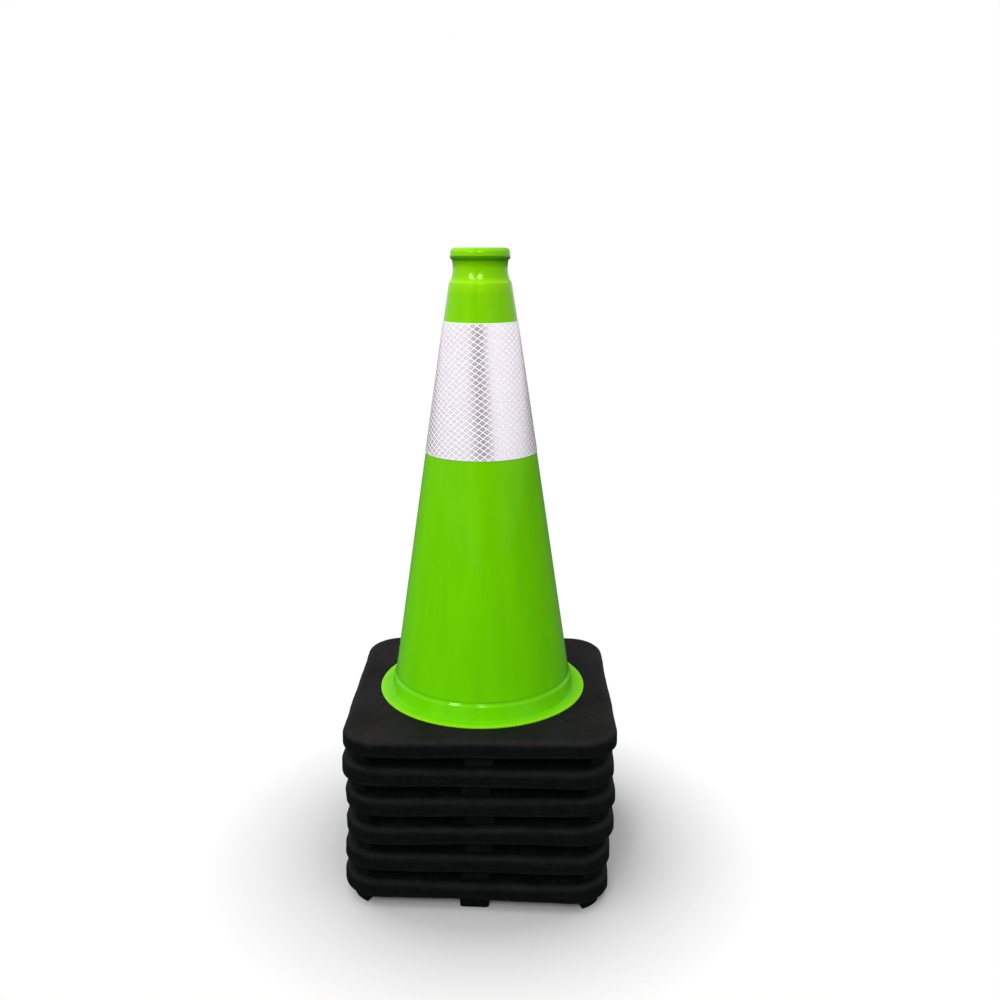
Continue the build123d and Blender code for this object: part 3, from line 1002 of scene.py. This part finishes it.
def build_base(name, seed, twist, floor):
    """An uneven copy of the master, with its marks, its rubbed edges with a painted highlight on them, and
    where dust can settle.
    """
    covered = floor < cad_box[1].z - cone_height - pitch / 2
    mesh = master.copy()
    base = bpy.data.objects.new(name, mesh)
    bpy.context.scene.collection.objects.link(base)
    points = np.empty(len(mesh.vertices) * 3, np.float32)
    mesh.vertices.foreach_get("co", points)
    points = points.reshape(-1, 3).astype(float)
    past = np.linalg.norm(points[:, :2] - np.clip(points[:, :2], -corner_centre, corner_centre), axis=1)
    # rubbing and a painted highlight along the slab's rounded edges, halved on the top edge of a covered
    # base
    on_rounding = ease(past, BASE_CORNER_R - 11 * MM, BASE_CORNER_R - 4 * MM)
    upper_edge = on_rounding * np.exp(-((points[:, 2] - slab_top + 2.0 * MM) / (1.9 * MM)) ** 2)
    lower_edge = on_rounding * np.exp(-((points[:, 2] - FOOT_HEIGHT - 1 * MM) / (1.2 * MM)) ** 2)
    rubbed_and_lit = upper_edge * (0.5 if covered else 1.0) + 0.5 * lower_edge
    outside = ease(past, BASE_CORNER_R - 9 * MM, BASE_CORNER_R - 1 * MM)
    point_value(base, "mark", mark_share(points))
    point_value(base, "edge_rub_and_highlight", np.clip(rubbed_and_lit, 0, 1))
    point_value(base, "open_to_dust", 0.15 * outside if covered else np.ones(len(points)))
    moved = uneven_base(points, seed)
    moved[:, :2] = turned_in_plane(moved[:, :2], twist)
    mesh.vertices.foreach_set("co", (moved + (0, 0, floor)).astype(np.float32).ravel())
    mesh.shade_smooth()
    mesh.update()
    return base


def build_collar(name, seed, twist, floor):
    """A collar with the map of its flat sheet and its cut edges."""
    points, flat = wrap_collar(seed, twist)
    collar = make_mesh(name, points + (0, 0, floor), collar_faces(*points.shape[:2]))
    corners = np.empty(len(collar.data.loops), np.int32)
    collar.data.loops.foreach_get("vertex_index", corners)
    sheet_map = collar.data.uv_layers.new(name="flat_sheet")
    sheet_map.data.foreach_set("uv", flat.reshape(-1, 2)[corners].astype(np.float32).ravel())
    level = points[..., 2]
    from_edge = np.minimum(level - collar_bottom, collar_top - level)
    point_value(collar, "cut_edge", 1 - ease(from_edge, 0.1 * MM, 0.5 * MM))
    return collar


# %% Build all six
builders = {"shell": build_shell, "base": build_base, "collar": build_collar}
for number, (cone, twist) in enumerate(zip(cones, TWISTS)):
    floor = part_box(f"{cone}_base")[0].z
    seed = 10 * number + 1
    for kind, build in builders.items():
        piece = build(f"{kind}_of_{cone}", seed, twist, floor)
        piece.data.materials.clear()
        piece.data.materials.append(finishes[kind])
        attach(piece, cone)
        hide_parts(f"{cone}_{kind}")
bpy.data.meshes.remove(master)
shown = [piece for piece in bpy.data.objects if "_of_" in piece.name]
print("pieces:", len(shown), "with", sum(len(piece.data.polygons) for piece in shown), "faces")


# %% [markdown]
# ## Stage, light and camera
# The stack stands on a plain floor in a bright studio, lighter on the left than on the right, and a key
# light stands in front. In front there is also a dark gap that only reflections see: the mirrors of the
# collar need it to show grey, just as they would with a person standing there. Two lamps aimed at the
# neck give the gloss its two highlights, and light nothing but the shells.

# %% The floor
def floor_disc(radius):
    """A disc made of rings: at ring radius r and angle a, x = r cos a and y = r sin a."""
    rings = np.linspace(0.02, 1, 12)[:, None] ** 2 * radius
    a = np.linspace(0, 2 * math.pi, 96, endpoint=False)
    points = np.stack([rings * np.cos(a), rings * np.sin(a), np.zeros((12, 96))], axis=-1)
    faces = grid_faces(12, 96, False, True).tolist()
    faces.append(list(range(95, -1, -1)))
    return make_mesh("studio_floor", points, faces)


# the grey is a painted shadow pool that the camera sees round the stack; other rays see a dark floor
FLOOR_SHADOW_POOL, FLOOR_UNSEEN = (0.52, 0.52, 0.52, 1), (0.10, 0.10, 0.10, 1)
WHITE_FROM, WHITE_BEYOND = 0.155, 0.29      # metres from the axis


def white_floor():
    """To the camera, a matt grey near the stack, a painted shadow pool in which the real shadow also
    falls, that turns into the white of the background between two distances. To every other ray it is a
    dark floor, so that the undersides stay dark."""
    material = bpy.data.materials.new("studio_white")
    material.use_nodes = True
    tree = material.node_tree
    tree.nodes.clear()
    place = node(tree, "ShaderNodeTexCoord").outputs["Object"]
    distance = node(tree, "ShaderNodeVectorMath", {0: place}, operation="LENGTH").outputs["Value"]
    matt = node(tree, "ShaderNodeBsdfDiffuse", {"Color": FLOOR_SHADOW_POOL}).outputs[0]
    glow = node(tree, "ShaderNodeEmission", {"Color": (1, 1, 1, 1), "Strength": 1.0}).outputs[0]
    share = remap(tree, distance, WHITE_FROM, WHITE_BEYOND)
    white = node(tree, "ShaderNodeMixShader", {0: share, 1: matt, 2: glow}).outputs[0]
    dark = node(tree, "ShaderNodeBsdfDiffuse", {"Color": FLOOR_UNSEEN}).outputs[0]
    seen = node(tree, "ShaderNodeLightPath").outputs["Is Camera Ray"]
    both = node(tree, "ShaderNodeMixShader", {0: seen, 1: dark, 2: white}).outputs[0]
    node(tree, "ShaderNodeOutputMaterial", {"Surface": both})
    return material


floor = floor_disc(30.0)
floor.data.materials.append(white_floor())

# %% The studio round it
LEFT_LEVEL, RIGHT_LEVEL = 1.30, 0.60        # of the walls, for matt surfaces
LOW_SHARE, HIGH_SHARE = 0.85, 1.45          # the walls are brighter above than below
MIRRORED_LEVEL, GAP_LEVEL = 1.10, 0.04      # of the walls and the dark gap, for reflections
BACK_LEFT_LEVEL, BACK_RIGHT_LEVEL = 0.60, 0.06
GAP_LEAN = 2.1      # the gap moves this far to the left for each unit it rises
GAP_HEIGHT = 0.17   # and stands straight in front at this height
GAP_DARK, GAP_END = 0.22, 0.44              # half its width, where it is dark and where it ends
world = bpy.data.worlds.new("studio")
bpy.context.scene.world = world
world.use_nodes = True
tree = world.node_tree
tree.nodes.clear()
direction_out = node(tree, "ShaderNodeTexCoord").outputs["Generated"]
parts = node(tree, "ShaderNodeSeparateXYZ", {0: direction_out}).outputs
around = remap(tree, parts["X"], -0.75, 0.85, LEFT_LEVEL, RIGHT_LEVEL)
above = remap(tree, parts["Z"], -0.1, 0.9, LOW_SHARE, HIGH_SHARE)
walls = calculate(tree, "MULTIPLY", around, above)
leaning = calculate(tree, "MULTIPLY_ADD", parts["Z"], GAP_LEAN, -GAP_HEIGHT * GAP_LEAN)
sideways = calculate(tree, "SUBTRACT", leaning, calculate(tree, "DIVIDE", parts["X"], parts["Y"]))
open_side = remap(tree, calculate(tree, "ABSOLUTE", sideways), GAP_DARK, GAP_END)
behind = calculate(tree, "GREATER_THAN", parts["Y"], 0.0)
clear = calculate(tree, "MAXIMUM", open_side, behind)
wide = remap(tree, parts["X"], -0.7, 0.7, 0.80, 1.05)
mirrored = remap(tree, clear, 0.0, 1.0, GAP_LEVEL, calculate(tree, "MULTIPLY", wide, MIRRORED_LEVEL))
back = remap(tree, parts["X"], -0.35, 0.20, BACK_LEFT_LEVEL, BACK_RIGHT_LEVEL)
raised = remap(tree, parts["Z"], 0.12, 0.26)
far_back = calculate(tree, "MULTIPLY", remap(tree, parts["Y"], 0.60, 0.85), raised)
mirrored = mix(tree, far_back, mirrored, back)
path = node(tree, "ShaderNodeLightPath").outputs
level = mix(tree, path["Is Glossy Ray"], walls, mirrored)
strength = mix(tree, path["Is Camera Ray"], level, (1.0, 1.0, 1.0, 1))
backdrop = node(tree, "ShaderNodeBackground", {"Color": strength, "Strength": 1.0}).outputs[0]
node(tree, "ShaderNodeOutputWorld", {"Surface": backdrop})
print("the studio's walls, left and right:", LEFT_LEVEL, RIGHT_LEVEL)


# %% Softboxes
def softbox(name, place, aim, size, power, mirrored=True):
    """A rectangular area light at a place, turned to face a point, and shown in gloss or hidden."""
    lamp = bpy.data.lights.new(name, "AREA")
    lamp.shape = "RECTANGLE"
    lamp.size, lamp.size_y = size
    lamp.energy = power
    light = bpy.data.objects.new(name, lamp)
    light.location = place
    light.visible_glossy = mirrored
    light.rotation_euler = (Vector(aim) - Vector(place)).to_track_quat("-Z", "Y").to_euler()
    bpy.context.scene.collection.objects.link(light)
    return light


KEY_SIZE, KEY_POWER = (0.8, 0.6), 26        # metres and watts
LAMP_SIZE, LAMP_POWER = (0.36, 0.36), 1.1
LAMP_SPREAD = math.radians(25)
middle_of_stack = (0, 0, cad_box[1].z / 2)
softbox("key", (-0.35, -2.1, 1.75), middle_of_stack, KEY_SIZE, KEY_POWER, mirrored=False)
neck_of_stack = (0, 0, cad_box[1].z - pitch)
lamps = [softbox("lamp_left", (-0.86, -1.23, 1.30), neck_of_stack, LAMP_SIZE, LAMP_POWER),
         softbox("lamp_right", (0.03, -1.50, 1.30), neck_of_stack, LAMP_SIZE, LAMP_POWER)]
shells = bpy.data.collections.new("shells")
for piece in shown:
    if piece.name.startswith("shell"):
        shells.objects.link(piece)
for lamp in lamps:
    lamp.visible_diffuse = False
    lamp.data.spread = LAMP_SPREAD
    lamp.light_linking.receiver_collection = shells
print("lamps on the neck:", [lamp.name for lamp in lamps])

# %% The camera
CAMERA_PLACE = Vector((38.6, -942.3, 611.1)) * MM
TILT_DOWN, SWING = math.radians(17.31), math.radians(-1.26)
LENS, SENSOR_WIDTH = 36.05, 36.0        # millimetres
camera_data = bpy.data.cameras.new("camera")
camera = bpy.data.objects.new("camera", camera_data)
bpy.context.scene.collection.objects.link(camera)
bpy.context.scene.camera = camera
camera.location = CAMERA_PLACE
level_part = math.cos(TILT_DOWN)
looking = Vector((math.sin(SWING) * level_part, math.cos(SWING) * level_part, -math.sin(TILT_DOWN)))
camera.rotation_euler = looking.to_track_quat("-Z", "Y").to_euler()
camera_data.sensor_width = SENSOR_WIDTH
camera_data.lens = LENS
camera_data.shift_y = 0.056
camera_data.clip_end = 100.0
bpy.context.scene.view_settings.view_transform = "Standard"

# %% Finish
bpy.context.view_layer.update()
